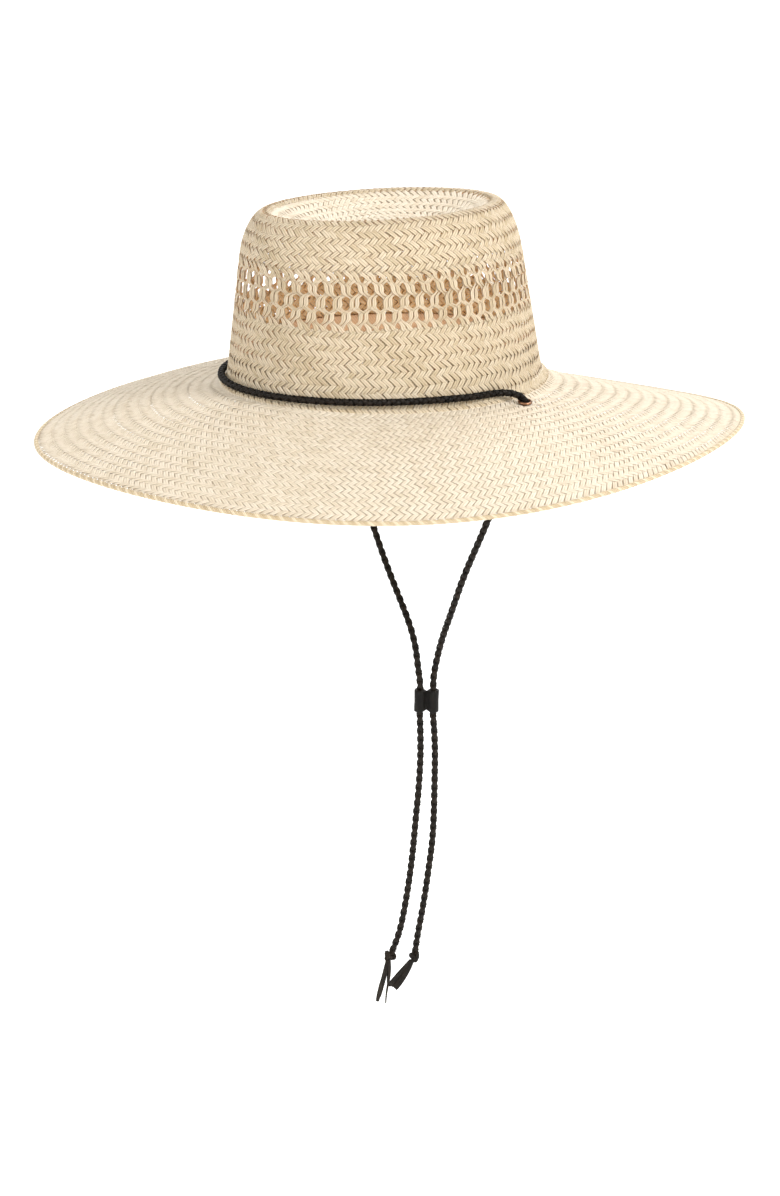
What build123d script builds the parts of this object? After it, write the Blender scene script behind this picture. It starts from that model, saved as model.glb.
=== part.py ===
from build123d import *
import math
import os

# Straw sun hat with a vented crown, a wide drooping brim and a braided
# leather chin cord.  Millimetres, +Z up.  The origin is the centre of the
# head opening, in the plane where the crown wall meets the brim.  The
# front of the hat faces -Y and the wearer's left side is +X.
# Plan angles t are in radians from +X, turning towards the back (+Y).

SIDES = {"left": 1, "right": -1}        # sign of x on each side
FROM_BASE = (Align.CENTER, Align.CENTER, Align.MIN)

# ---------------------------------------------------------------- dimensions
# Crown
BASE_A = 104.0          # base, outer half length front to back
BASE_B = 84.2           # base, outer half width side to side
TAPER_A = 0.140         # shrinkage of the half length per mm of height
TAPER_B = 0.169         # the same for the half width
LEAN = 0.056            # forward lean per mm of height
CROWN_H = 106.0         # height of the rim
ROUND_Z = 76.0          # height where the wall starts to round over
ROUND_IN = 12.0         # how far the rim lies inside the straight wall
STRAW_T = 2.0           # wall thickness
THICKEN_Z = 97.0        # height where the wall starts to thicken to RIM_W
RIM_W = 4.0             # width of the flat ring on the rim
ZONE_GAP = 0.05         # each straw zone stops this far short of a shared edge
WALL_FOOT_Z = -6.0      # foot of the lower wall before the brim trims it
WALL_INSET = 0.02       # outer skin of the lower wall, inside the crown's skin
OVERCUT = 2.0           # a wall's inner skin overruns both ends by this

# Tip: a dished panel inside the rim
TIP_GAP = 0.1           # clearance to the rim's ring
TIP_DROP = 0.3          # the panel's edge lies this far below the rim
TIP_DENT = 14.0         # depth of the dish
TIP_SLOPE = 0.72        # share of the radius taken by the slope
TIP_GRID_X, TIP_GRID_Y = 150.0, 190.0   # extent of the surface before trimming
TIP_GRID_N = 41         # surface points each way

# Openwork band
VENT_LO, VENT_HI = 42.0, 78.0
VENT_ROWS = (51.6, 60.0, 68.4)          # heights of the rows of holes
VENT_N = 54             # holes in one row
VENT_W, VENT_L = 3.8, 7.0               # width and height of one hole
VENT_SHOULDER = 0.45    # height of a hole's straight sides, share of VENT_L
VENT_SAMPLES = 2000     # steps used to measure along the oval
VENT_OVERCUT = 2.0      # a hole's cutter overruns both skins by this

# Brim
BRIM_A, BRIM_B = 227.2, 201.9           # outline, half length and half width
BRIM_YC = 7.0           # centre of the outline lies this far back
BRIM_T = 2.0            # thickness
BRIM_WIDTH = 120.0      # nominal width, crown to edge
DROOP = 32.2            # mean drop of the edge
# waves of the edge's height: harmonic, cosine part, sine part
EDGE_WAVES = ((1, 2.4, 0.7), (2, 2.3, 3.2), (3, -2.0, 4.0))
SIDE_DIP, SIDE_DIP_REACH = 3.2, 0.3     # extra dip by the crown at both sides
FLARE_H, FLARE_L = 3.8, 2.2             # height and length of the base fillet
ROLL_R = 1.5            # radius of the turned brim edge
ROLL_GAP = 0.2          # clearance between the flat brim and the turned edge
ROLL_POINTS = 72
TURN_STEPS = 48         # angular steps of the brim's surfaces
# stations across the brim, 0 at the crown and 1 at the outline
BRIM_STATIONS = [0, 0.008, 0.017, 0.028, 0.042, 0.06, 0.085, 0.12, 0.17, 0.23, 0.3, 0.38,
                 0.46, 0.54, 0.62, 0.7, 0.78, 0.86, 0.93,
                 1.0 - (2 * ROLL_R + ROLL_GAP) / BRIM_WIDTH]

# Sweatband
BAND_LO, BAND_HI, BAND_T = -1.5, 21.5, 1.2
BAND_INSET = STRAW_T + 0.15             # outer skin, inside the crown's skin
STITCH_N, STITCH_LEN, STITCH_R = 64, 4.6, 0.3
STITCH_Z = BAND_LO + 2.6
STITCH_INSET = BAND_INSET + BAND_T + STITCH_R + 0.06

# Eyelets, one on each side of the brim
EYE_X, EYE_Y = 92.0, 33.9
EYE_BARREL_R, EYE_BORE_R, EYE_FLANGE_R = 2.9, 2.35, 3.9
EYE_GAP = 0.12          # clearance of lip and washer from the brim's faces
EYE_BARREL_TOP = 0.3    # barrel top above the brim
EYE_BARREL_EXTRA = 0.5  # barrel length beyond brim and washer
WASHER_R, WASHER_T = 4.2, 0.5

# Cord round the crown
CROWN_CORD_R = 1.9
CROWN_CORD_GAP = 0.95   # clearance to the crown's skin
CORD_LANDING = (89.2, 27.6, 1.6)        # cord between eyelet and crown; x mirrored
# left half round the crown: plan angle in degrees, height
CORD_WRAP = ((10, 2.6), (2, 3.1), (-8, 3.5), (-20, 3.9),
             (-33, 4.1), (-46, 4.25), (-60, 4.3), (-75, 4.3))

# Slider: two barrels joined by a web, hanging turned by TURN degrees
SLIDER_H, BARREL_R, BARREL_BORE_R = 14.8, 3.5, 1.95
SLIDER_GAP, WEB_T = 4.2, 2.6            # barrel centre from the middle, web
SLIDER_Z = -219.4
HANG_Y = 37.5
TURN = 52.63
# centres of the bores, left and right, where runs and tails meet
BORE_X = round(SLIDER_GAP * math.cos(math.radians(TURN)), 2)
BORE_DY = round(SLIDER_GAP * math.sin(math.radians(TURN)), 2)
BORE_LEFT = (BORE_X, HANG_Y + BORE_DY)
BORE_RIGHT = (-BORE_X, HANG_Y - BORE_DY)
RUN_END_Z = SLIDER_Z + 0.1
TAIL_START_Z = SLIDER_Z - 0.1

# Chin cord: x, y, z along each run, from the eyelet to the slider
CHIN_CORD_R = 1.6
RUNS = {
    "left": [
        (EYE_X, EYE_Y, -7.2), (91.2, 33.9, -16), (86.2, 34.1, -30), (76.2, 34.5, -50),
        (66.6, 34.9, -70), (56.5, 35.3, -90), (45.5, 35.7, -110), (35.9, 36.1, -128),
        (27.6, 36.9, -145), (19.6, 38.4, -160), (12.0, 40.0, -174), (6.5, 41.0, -187),
        (3.6, 41.0, -198), (2.6, 40.8, -206), (*BORE_LEFT, -212), (*BORE_LEFT, RUN_END_Z)],
    "right": [
        (-EYE_X, EYE_Y, -7.2), (-91.4, 33.9, -16), (-88.9, 34.0, -30), (-83.5, 34.2, -50),
        (-76.9, 34.5, -70), (-68.9, 34.8, -90), (-59.7, 35.2, -110), (-49.2, 35.5, -128),
        (-37.0, 35.4, -145), (-24.1, 34.6, -160), (-12.7, 33.6, -174), (-6.5, 33.2, -187),
        (-4.0, 33.3, -198), (-2.8, 33.9, -206), (*BORE_RIGHT, -212), (*BORE_RIGHT, RUN_END_Z)],
}
# x, y, z along each tail, from the slider to the knot
TAILS = {
    "left": [
        (*BORE_LEFT, TAIL_START_Z), (2.6, 41.0, -226.8), (3.2, 41.7, -238),
        (3.8, 42.4, -252), (3.9, 42.7, -268), (4.0, 42.7, -284), (3.9, 42.7, -300),
        (3.6, 42.2, -317), (2.6, 40.9, -334), (1.5, 39.4, -351), (0.1, 37.6, -368.5),
        (-1.5, 35.6, -385.8), (-2.2, 34.7, -395.0)],
    "right": [
        (*BORE_RIGHT, TAIL_START_Z), (-2.5, 34.2, -226.9), (-2.2, 34.6, -238),
        (-1.9, 35.0, -252), (-2.0, 34.9, -268), (-2.4, 34.3, -284), (-3.1, 33.4, -300),
        (-3.8, 32.6, -317), (-4.6, 31.5, -334), (-5.7, 30.0, -351), (-7.2, 28.1, -368.5),
        (-9.2, 25.5, -385.0), (-11.1, 23.1, -395.0)],
}
KNOT_R = 4.2
KNOT_CENTRES = {"left": (-2.5, 34.3, -400.4), "right": (-12.6, 21.1, -400.4)}
SOCKET_GAP = 0.5        # radial clearance of the cord in the knot
SOCKET_DROP = 0.4       # socket floor below the end of the tail
# unbraided thongs below each knot: start, end
THONG_W, THONG_T = 2.2, 0.8
THONGS = {
    "left": [((-2.6, 32.0, -405.3), (-10.2, 19.2, -424.1)),
             ((-1.4, 33.6, -405.5), (-6.9, 23.5, -426.2)),
             ((-3.8, 35.4, -405.3), (-9.4, 27.4, -422.6)),
             ((-0.8, 36.4, -405.1), (-4.6, 28.4, -424.6))],
    "right": [((-13.6, 19.6, -405.3), (-16.9, 15.3, -436.0)),
              ((-12.2, 21.6, -405.5), (-13.9, 19.8, -437.4)),
              ((-15.2, 22.6, -405.3), (-19.2, 18.6, -434.2)),
              ((-13.2, 24.6, -405.1), (-16.4, 24.4, -432.0))],
}


# ------------------------------------------------------------ crown geometry
def crown_size(z, inset=0.0):
    """Half length and half width of the straight crown at height z."""
    return BASE_A - TAPER_A * z - inset, BASE_B - TAPER_B * z - inset


def crown_point(t, z, inset=0.0):
    """Point of the straight crown's skin at plan angle t."""
    half_length, half_width = crown_size(z, inset)
    return Vector(half_width * math.cos(t), half_length * math.sin(t) - LEAN * z, z)


def outward(t, half_length, half_width):
    """Horizontal unit normal of an oval at plan angle t."""
    return Vector(math.cos(t) / half_width, math.sin(t) / half_length, 0).normalized()


def oval(half_length, half_width, y, z):
    """Horizontal oval wire centred on (0, y, z)."""
    plane = Plane(origin=(0, y, z), x_dir=(0, 1, 0), z_dir=(0, 0, 1))
    return Wire([Edge.make_ellipse(half_length, half_width, plane)])


def shell(levels, outer_inset, inner_inset):
    """Wall between two lofted skins; the insets are functions of height."""
    def skin(heights, inset):
        return Solid.make_loft([oval(*crown_size(z, inset(z)), -LEAN * z, z) for z in heights],
                               True)

    low, high = levels[0], levels[-1]
    inner_levels = [low - OVERCUT] + list(levels[1:-1]) + [high + OVERCUT]
    outer = skin(levels, outer_inset)
    return outer - skin(inner_levels, lambda z: inner_inset(min(max(z, low), high)))


def rounding(z):
    """How far the crown's skin lies inside the straight taper at height z."""
    if z <= ROUND_Z:
        return 0.0
    u = (z - ROUND_Z) / (CROWN_H - ROUND_Z)
    return ROUND_IN * (1.0 - math.sqrt(1.0 - u * u))


# ------------------------------------------------------------- brim geometry
def edge_point(t):
    """Point of the brim's outline, with its drop."""
    x = BRIM_B * math.cos(t)
    y = BRIM_A * math.sin(t) + BRIM_YC
    z = -DROOP + sum(c * math.cos(n * t) + s * math.sin(n * t) for n, c, s in EDGE_WAVES)
    return x, y, z


def brim_top(t, r):
    """Upper face of the brim; r runs from 0 at the crown to 1 at the edge."""
    edge_x, edge_y, edge_z = edge_point(t)
    base_x, base_y = BASE_B * math.cos(t), BASE_A * math.sin(t)
    x = base_x + (edge_x - base_x) * r
    y = base_y + (edge_y - base_y) * r
    distance = math.hypot(edge_x - base_x, edge_y - base_y) * r
    # how late the brim bends down; it varies round the hat
    power = 1.136 - 0.033 * math.cos(t) - 0.167 * math.sin(t) + 0.225 * math.cos(2 * t)
    z = edge_z * max(r, 0.0) ** power   # the search in brim_at may try r < 0
    z -= SIDE_DIP * math.cos(t) ** 2 * math.exp(-(r / SIDE_DIP_REACH) ** 2)
    z += FLARE_H * math.exp(-distance / FLARE_L)
    return x, y, z


def brim_at(plan_x, plan_y):
    """Height of the brim's upper face above a point of the plan, by Newton's method."""
    step = 1e-5
    t, r = math.atan2(plan_y / BASE_A, plan_x / BASE_B), 0.1
    for _ in range(30):
        x, y, _z = brim_top(t, r)
        x_t, y_t, _z = brim_top(t + step, r)
        x_r, y_r, _z = brim_top(t, r + step)
        dx_dt, dx_dr = (x_t - x) / step, (x_r - x) / step
        dy_dt, dy_dr = (y_t - y) / step, (y_r - y) / step
        det = dx_dt * dy_dr - dx_dr * dy_dt
        miss_x, miss_y = plan_x - x, plan_y - y
        t += (dy_dr * miss_x - dx_dr * miss_y) / det
        r += (dx_dt * miss_y - dy_dt * miss_x) / det
    return brim_top(t, r)[2]


def eye_plane(sign, shift=0.0):
    """Plane along the brim's upper face at an eyelet, moved up its normal by shift."""
    x, y, h = sign * EYE_X, EYE_Y, 2.0
    slope_x = (brim_at(x + h, y) - brim_at(x - h, y)) / (2 * h)
    slope_y = (brim_at(x, y + h) - brim_at(x, y - h)) / (2 * h)
    normal = Vector(-slope_x, -slope_y, 1).normalized()
    return Plane(origin=Vector(x, y, brim_at(x, y)) + normal * shift, z_dir=normal)


# ------------------------------------------------------------ shared helpers
def surface(grid, tol=0.01):
    return Face.make_surface_from_array_of_points(grid, tol=tol)


def post(radius, height):
    """Cylinder standing on its plane."""
    return Cylinder(radius, height, align=FROM_BASE)


def sweep_round(path, radius):
    return sweep(Plane(origin=path @ 0, z_dir=path % 0) * Circle(radius), path=path)


def cord(points, radius):
    """Round cord along a smooth curve through the points."""
    return sweep_round(Edge.make_spline([Vector(point) for point in points]), radius)


# --------------------------------------------------------------------- crown
def make_upper_wall():
    """Rounded shoulder that thickens to the rim's flat ring."""
    def inner_inset(z):
        share = max(0.0, (z - THICKEN_Z) / (CROWN_H - THICKEN_Z))
        return rounding(z) + STRAW_T + (RIM_W - STRAW_T) * share

    levels = [VENT_HI + ZONE_GAP, 82, 86, 90, 94, THICKEN_Z, 100, 102.5, 104.5, 105.5, CROWN_H]
    return shell(levels, rounding, inner_inset)


def vent_angles(z, shift):
    """Plan angles of one row, in equal steps along the oval, moved on by shift steps."""
    half_length, half_width = crown_size(z)
    angles = [2 * math.pi * j / VENT_SAMPLES for j in range(VENT_SAMPLES + 1)]
    lengths = [0.0]
    for t0, t1 in zip(angles, angles[1:]):
        lengths.append(lengths[-1] + math.hypot(half_width * (math.cos(t1) - math.cos(t0)),
                                                half_length * (math.sin(t1) - math.sin(t0))))
    for k in range(VENT_N):
        target = lengths[-1] * (k + shift) / VENT_N
        yield angles[min(range(VENT_SAMPLES + 1), key=lambda j: abs(lengths[j] - target))]


def vent_cutter(t, z):
    """Upright six-sided prism through the wall."""
    normal = outward(t, *crown_size(z))
    plane = Plane(origin=crown_point(t, z) - normal * (STRAW_T + VENT_OVERCUT),
                  x_dir=(0, 0, 1), z_dir=normal)
    tip, side = VENT_L / 2, VENT_W / 2
    shoulder = tip * VENT_SHOULDER
    corners = [(tip, 0), (shoulder, side), (-shoulder, side),
               (-tip, 0), (-shoulder, -side), (shoulder, -side)]
    outline = [plane.from_local_coords(Vector(u, v, 0)) for u, v in corners]
    face = Face(Wire.make_polygon(outline, close=True))
    return Solid.extrude(face, normal * (STRAW_T + 2 * VENT_OVERCUT))


def make_vent_band():
    """Openwork band; every second row is half a step off."""
    band = shell([VENT_LO + ZONE_GAP, VENT_HI - ZONE_GAP], lambda z: 0.0, lambda z: STRAW_T)
    cutters = [vent_cutter(t, z)
               for row, z in enumerate(VENT_ROWS)
               for t in vent_angles(z, 0.5 if row % 2 else 0.0)]
    return band.cut(*cutters)


def make_tip():
    """Oval dish that starts just below the rim and sinks to its floor."""
    half_length, half_width = crown_size(CROWN_H, ROUND_IN + RIM_W + TIP_GAP)
    centre_y = -LEAN * CROWN_H
    grid = []
    for i in range(TIP_GRID_N):
        x = TIP_GRID_X * (i / (TIP_GRID_N - 1) - 0.5)
        row = []
        for j in range(TIP_GRID_N):
            dy = TIP_GRID_Y * (j / (TIP_GRID_N - 1) - 0.5)
            radius = math.hypot(x / half_width, dy / half_length)
            u = min(1.0, max(0.0, (1.0 - radius) / TIP_SLOPE))
            z = CROWN_H - TIP_DROP - TIP_DENT * u * u * (3 - 2 * u)
            row.append(Vector(x, centre_y + dy, z))
        grid.append(row)
    slab = Solid.extrude(surface(grid, tol=0.05), Vector(0, 0, -STRAW_T))
    outline = Face(oval(half_length, half_width, centre_y, CROWN_H - 40))
    return slab & Solid.extrude(outline, Vector(0, 0, 60))


def make_lower_wall():
    """Straight oval tube whose foot follows the brim."""
    wall = shell([WALL_FOOT_Z, VENT_LO - ZONE_GAP], lambda z: WALL_INSET, lambda z: STRAW_T)
    grid = []
    for i in range(TURN_STEPS + 1):
        x, y, z = brim_top(2 * math.pi * i / TURN_STEPS, 0.0)
        grid.append([Vector(x * f, y * f, z + 0.05) for f in (0.90, 0.96, 1.0, 1.04)])
    middle = TURN_STEPS // 2
    for half in (grid[:middle + 1], grid[middle:]):
        wall = wall - Solid.extrude(surface(half), Vector(0, 0, -14))
    return wall


# ---------------------------------------------------------------------- brim
def make_brim():
    """Drooping brim in two halves, with a hole for each eyelet."""
    halves = []
    for start in (0.0, math.pi):
        grid = [[Vector(*brim_top(start + math.pi * i / TURN_STEPS, r)) for r in BRIM_STATIONS]
                for i in range(TURN_STEPS + 1)]
        halves.append(Solid.extrude(surface(grid), Vector(0, 0, -BRIM_T)))
    brim = halves[0] + halves[1]
    for sign in SIDES.values():
        brim = brim - eye_plane(sign, -6) * Cylinder(EYE_BARREL_R + 0.15, 14)
    return brim


def make_edge_roll():
    """Turned edge round the brim, swept in two halves."""
    points = []
    for i in range(ROLL_POINTS):
        t = 2 * math.pi * i / ROLL_POINTS
        x, y, z = edge_point(t)
        points.append(Vector(x, y, z - BRIM_T / 2) - outward(t, BRIM_A, BRIM_B) * ROLL_R)
    path = Edge.make_spline(points, periodic=True)
    return (sweep_round(path.trim(0.0, 0.5), ROLL_R)
            + sweep_round(path.trim(0.5, 1.0), ROLL_R))


# ----------------------------------------------------------------- sweatband
def make_sweatband():
    return shell([BAND_LO, BAND_HI], lambda z: BAND_INSET, lambda z: BAND_INSET + BAND_T)


def make_stitches():
    """Row of short rods on the inner face of the sweatband."""
    half_length, half_width = crown_size(STITCH_Z, STITCH_INSET)
    stitches = []
    for k in range(STITCH_N):
        t = 2 * math.pi * (k + 0.5) / STITCH_N
        along = Vector(-half_width * math.sin(t), half_length * math.cos(t), 0).normalized()
        start = crown_point(t, STITCH_Z, STITCH_INSET) - along * (STITCH_LEN / 2)
        stitches.append(Plane(origin=start, z_dir=along) * post(STITCH_R, STITCH_LEN))
    return Compound(children=stitches)


# ------------------------------------------------------------------- eyelets
def make_eyelet(sign):
    """Barrel through the brim with a half-round lip on top."""
    lip = eye_plane(sign, EYE_GAP) * Torus((EYE_FLANGE_R + EYE_BORE_R) / 2,
                                           (EYE_FLANGE_R - EYE_BORE_R) / 2)
    length = BRIM_T + WASHER_T + EYE_BARREL_EXTRA
    barrel = eye_plane(sign, EYE_BARREL_TOP - length) * post(EYE_BARREL_R, length)
    above_brim = eye_plane(sign, EYE_GAP) * post(EYE_FLANGE_R + 2, 4)
    bore = eye_plane(sign, -8) * post(EYE_BORE_R, 20)
    return ((lip & above_brim) + barrel) - bore


def make_washer(sign):
    """Flat ring under the brim, round the eyelet's barrel."""
    washer = eye_plane(sign, -BRIM_T - EYE_GAP - WASHER_T) * post(WASHER_R, WASHER_T)
    return washer - eye_plane(sign, -8) * post(EYE_BARREL_R + 0.08, 12)


# --------------------------------------------------------------------- cords
def make_crown_cord():
    """Cord up through both eyelets and round the front of the crown."""
    inset = -(CROWN_CORD_R + CROWN_CORD_GAP)

    def half(sign):
        plane = eye_plane(sign)
        eye, normal = plane.origin, plane.z_dir
        land_x, land_y, land_z = CORD_LANDING
        points = [eye - normal * 1.0, eye + normal * 1.0,
                  eye + normal * 3.0 + Vector(-sign * 0.9, -1.6, 0),
                  Vector(sign * land_x, land_y, land_z)]
        for degrees, z in CORD_WRAP:
            point = crown_point(math.radians(degrees), z, inset)
            points.append(Vector(sign * point.X, point.Y, point.Z))
        return points

    front = crown_point(-math.pi / 2, CORD_WRAP[-1][1], inset)
    return cord(half(1) + [front] + half(-1)[::-1], CROWN_CORD_R)


def make_knot(centre, tail_end):
    """Ball for the knot, with a socket for the cord above it."""
    x, y, z = tail_end
    socket = Pos(x, y, z - SOCKET_DROP) * post(CHIN_CORD_R + SOCKET_GAP, 8)
    return Pos(*centre) * Sphere(KNOT_R) - socket


def make_thongs(ends):
    """Flat strips of leather, each its own solid."""
    strips = []
    for start, end in ends:
        run = Vector(*end) - Vector(*start)
        plane = Plane(origin=Vector(*start), z_dir=run.normalized())
        strips.append(plane * Box(THONG_W, THONG_T, run.length, align=FROM_BASE))
    return Compound(children=strips)


def make_slider():
    """Two barrels side by side, joined by a web and bored for the cords."""
    turn = math.radians(TURN)
    frame = Plane(origin=(0, HANG_Y, SLIDER_Z), x_dir=(math.cos(turn), math.sin(turn), 0),
                  z_dir=(0, 0, 1))
    slider = frame * (Pos(SLIDER_GAP, 0, 0) * Cylinder(BARREL_R, SLIDER_H)
                      + Pos(-SLIDER_GAP, 0, 0) * Cylinder(BARREL_R, SLIDER_H)
                      + Box(2 * SLIDER_GAP, WEB_T, SLIDER_H))
    for x in (SLIDER_GAP, -SLIDER_GAP):
        slider = slider - frame * (Pos(x, 0, 0) * Cylinder(BARREL_BORE_R, SLIDER_H + 2))
    return slider


# -------------------------------------------------------------------- output
os.makedirs("parts", exist_ok=True)


def save(shape, name):
    export_step(shape, os.path.join("parts", name + ".step"))


save(make_upper_wall(), "crown_upper_wall")
save(make_vent_band(), "vent_band")
save(make_tip(), "crown_tip")
save(make_brim(), "brim")
save(make_lower_wall(), "crown_lower_wall")
save(make_edge_roll(), "brim_edge_roll")
save(make_sweatband(), "sweatband")
save(make_stitches(), "sweatband_stitches")
save(make_crown_cord(), "crown_cord")
save(make_slider(), "cord_slider")
for side, side_sign in SIDES.items():
    save(make_eyelet(side_sign), "eyelet_" + side)
    save(make_washer(side_sign), "eyelet_washer_" + side)
    save(cord(RUNS[side], CHIN_CORD_R), "chin_cord_" + side)
    save(cord(TAILS[side], CHIN_CORD_R), "tail_cord_" + side)
    save(make_knot(KNOT_CENTRES[side], TAILS[side][-1]), "knot_" + side)
    save(make_thongs(THONGS[side]), "cord_ends_" + side)
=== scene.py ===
"""Woven straw hat with plaited leather crown and chin cords, in metres, Z up.

The crown stands at z = 0, longer along Y than along X, with its front at -Y and its left at +X.
The brim droops below z = 0 and the chin cords hang under it through a slider to two knots.
Forms are worked out in millimetres and scaled when the meshes are made.
Round the hat, an angle of 0 is at +X and a quarter turn is at +Y.
"""
import math

import bmesh
import bpy
import numpy as np
from mathutils import Matrix, Vector


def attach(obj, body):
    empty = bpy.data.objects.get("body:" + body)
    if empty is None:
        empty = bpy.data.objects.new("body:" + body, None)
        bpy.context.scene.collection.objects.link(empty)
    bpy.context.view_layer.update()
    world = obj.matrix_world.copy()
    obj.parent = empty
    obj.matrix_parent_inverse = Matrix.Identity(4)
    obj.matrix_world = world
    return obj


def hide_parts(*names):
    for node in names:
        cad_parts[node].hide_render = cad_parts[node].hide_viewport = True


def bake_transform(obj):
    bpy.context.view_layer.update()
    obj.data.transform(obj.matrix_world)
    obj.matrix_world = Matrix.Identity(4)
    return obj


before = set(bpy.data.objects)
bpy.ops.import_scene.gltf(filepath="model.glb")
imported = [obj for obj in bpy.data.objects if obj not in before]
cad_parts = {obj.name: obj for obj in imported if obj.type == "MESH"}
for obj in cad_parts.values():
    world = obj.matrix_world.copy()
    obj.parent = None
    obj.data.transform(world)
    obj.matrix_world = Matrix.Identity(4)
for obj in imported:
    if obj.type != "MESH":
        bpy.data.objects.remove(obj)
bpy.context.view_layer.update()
MM = 0.001
TAU = math.tau
UP = np.array([0, 0, 1.0])
SIDES = (("left", 1), ("right", -1))    # name and sign of X
rng = np.random.default_rng(11)

# ---------------------------------------------------------------- form of the hat
# A is a half length along Y and B a half width along X.
BASE_A, BASE_B = 104.0, 84.2
TAPER_A, TAPER_B = 0.140, 0.169         # narrowing per mm of height
LEAN = 0.056                            # shift towards -Y per mm of height
CROWN_TOP = 106.0
ROUND_START, ROUND_INSET = 76.0, 12.0   # where the crown's shoulder starts, how far it turns in
HALF_WALL = 1.0                         # half the thickness of the crown and the brim
TIP_A, TIP_B = 73.06, 50.19
TIP_Y = -LEAN * CROWN_TOP
TIP_DENT = 14.0                         # depth of the dished top
TIP_SPAN = 62.0                         # middle of the top to its edge
DISH_RUN = 0.72 * TIP_SPAN              # distance over which the dish falls to its floor
BRIM_A, BRIM_B, BRIM_Y = 227.2, 201.9, 7.0
DROOP = 32.2
FLARE_HEIGHT, FLARE_LENGTH = 3.8, 2.2   # turn-up where the brim meets the crown
SIDE_DIP = 3.2                          # how far the crown's foot drops at +X and -X
EYE_X, EYE_Y = 92.0, 33.9               # eyelets, at +X and -X

STRAND_BOW = 0.44                       # how far a strand bows out of the weave
HALF_STRAND = 0.24                      # half a strand's thickness


def ring_angles(count):
    return np.linspace(0, TAU, count + 1)[:-1]


def smooth(x):
    x = np.clip(x, 0, 1)
    return x * x * (3 - 2 * x)


def unit(a):
    return a / np.maximum(np.linalg.norm(a, axis=-1, keepdims=True), 1e-9)


def run_length(points):
    """Length along a line of points, from 0 at the first."""
    return np.concatenate([[0], np.cumsum(np.linalg.norm(np.diff(points, axis=0), axis=1))])


def wall_point(angle, z, inset, lift=0.0):
    """Point on the crown's tapering, leaning ellipse, set in by inset and raised by lift."""
    x = (BASE_B - TAPER_B * z - inset) * np.cos(angle)
    y = (BASE_A - TAPER_A * z - inset) * np.sin(angle) - LEAN * z
    return np.stack(np.broadcast_arrays(x, y, z + lift), -1)


def edge_point(angle):
    """x, y and z of the brim's outer edge."""
    x = BRIM_B * np.cos(angle)
    y = BRIM_A * np.sin(angle) + BRIM_Y
    z = (-DROOP + 2.4 * np.cos(angle) + 0.7 * np.sin(angle)
         + 2.3 * np.cos(2 * angle) + 3.2 * np.sin(2 * angle)
         - 2.0 * np.cos(3 * angle) + 4.0 * np.sin(3 * angle))
    return x, y, z


def brim_mid(angle, share):
    """Middle of the brim's thickness; share runs from 0 at the crown to 1 at the edge."""
    edge_x, edge_y, edge_z = edge_point(angle)
    foot_x, foot_y = BASE_B * np.cos(angle), BASE_A * np.sin(angle)
    x = foot_x + (edge_x - foot_x) * share
    y = foot_y + (edge_y - foot_y) * share
    from_crown = np.hypot(edge_x - foot_x, edge_y - foot_y) * share
    power = (1.136 - 0.033 * np.cos(angle) - 0.167 * np.sin(angle)
             + 0.225 * np.cos(2 * angle))
    z = (edge_z * np.maximum(share, 0.0) ** power
         - SIDE_DIP * np.cos(angle) ** 2 * np.exp(-(share / 0.3) ** 2)
         + FLARE_HEIGHT * np.exp(-from_crown / FLARE_LENGTH))
    return np.stack([x, y, z - HALF_WALL], -1)


def dish(distance):
    """Drop inside the crown's rim: quick at first, then easing to the floor."""
    return TIP_DENT * (1 - (1 - np.clip(distance / DISH_RUN, 0, 1)) ** 1.6)


def crown_meridian():
    """Heights, insets and lengths of the wall's middle line, from the foot over the shoulder."""
    heights, insets = [0.0, ROUND_START], [HALF_WALL, HALF_WALL]
    rise = CROWN_TOP - ROUND_START
    for angle in np.linspace(0, math.pi / 2, 24)[1:]:
        normal_out, normal_up = math.cos(angle) / ROUND_INSET, math.sin(angle) / rise
        size = math.hypot(normal_out, normal_up)
        heights.append(ROUND_START + rise * math.sin(angle) - HALF_WALL * normal_up / size)
        insets.append(ROUND_INSET * (1 - math.cos(angle)) + HALF_WALL * normal_out / size)
    for inset in (13.0, 13.8, 14.6, 15.4, 16.4, 17.6, 19.0, 20.6):
        ease = min(1.0, max(0.0, (inset - 13.2) / 1.6))
        heights.append(CROWN_TOP - HALF_WALL - float(dish(inset - 13.6)) * ease)
        insets.append(inset)
    heights, insets = np.array(heights), np.array(insets)
    return heights, insets, run_length(np.stack([heights, insets], -1))


WALL_HEIGHTS, WALL_INSETS, WALL_LENGTHS = crown_meridian()
RIM_LENGTH = float(np.interp(16.4, WALL_INSETS[2:], WALL_LENGTHS[2:]))


def tilt(angle, z):
    """The crown's top slopes a little from one side to the other."""
    return smooth((z - 78) / 26) * (0.7 * np.cos(angle) + 1.5 * np.sin(angle))


def crown_mid(angle, length):
    """Middle of the crown wall; a length below 0 follows the flare into the brim."""
    z = np.where(length < 0, length, np.interp(length, WALL_LENGTHS, WALL_HEIGHTS))
    inset = np.interp(length, WALL_LENGTHS, WALL_INSETS)
    foot = -SIDE_DIP * np.cos(angle) ** 2
    z = z + foot * (1 - smooth((z + 2) / 22))
    above_foot = np.maximum(z - foot, -1.0)
    inset = inset - 3.6 * np.exp(-np.maximum(above_foot - 0.9, 0) / 1.7)
    return wall_point(angle, z, inset, tilt(angle, z))


def crown_by_hand(angle, length):
    """The crown wall with the small drifts up, down and sideways of hand work."""
    amount = smooth((length + 1) / 12) * smooth((RIM_LENGTH - length) / 14)
    rise = (0.42 * np.sin(3 * angle + 0.6) + 0.34 * np.sin(7 * angle + length / 11)
            + 0.22 * np.sin(17 * angle - length / 5) + 0.14 * np.sin(31 * angle + length / 4))
    turn = 0.0030 * np.sin(5 * angle + length / 13) + 0.0022 * np.sin(23 * angle + length / 6)
    return crown_mid(angle + turn * amount, length + rise * amount)


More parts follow.
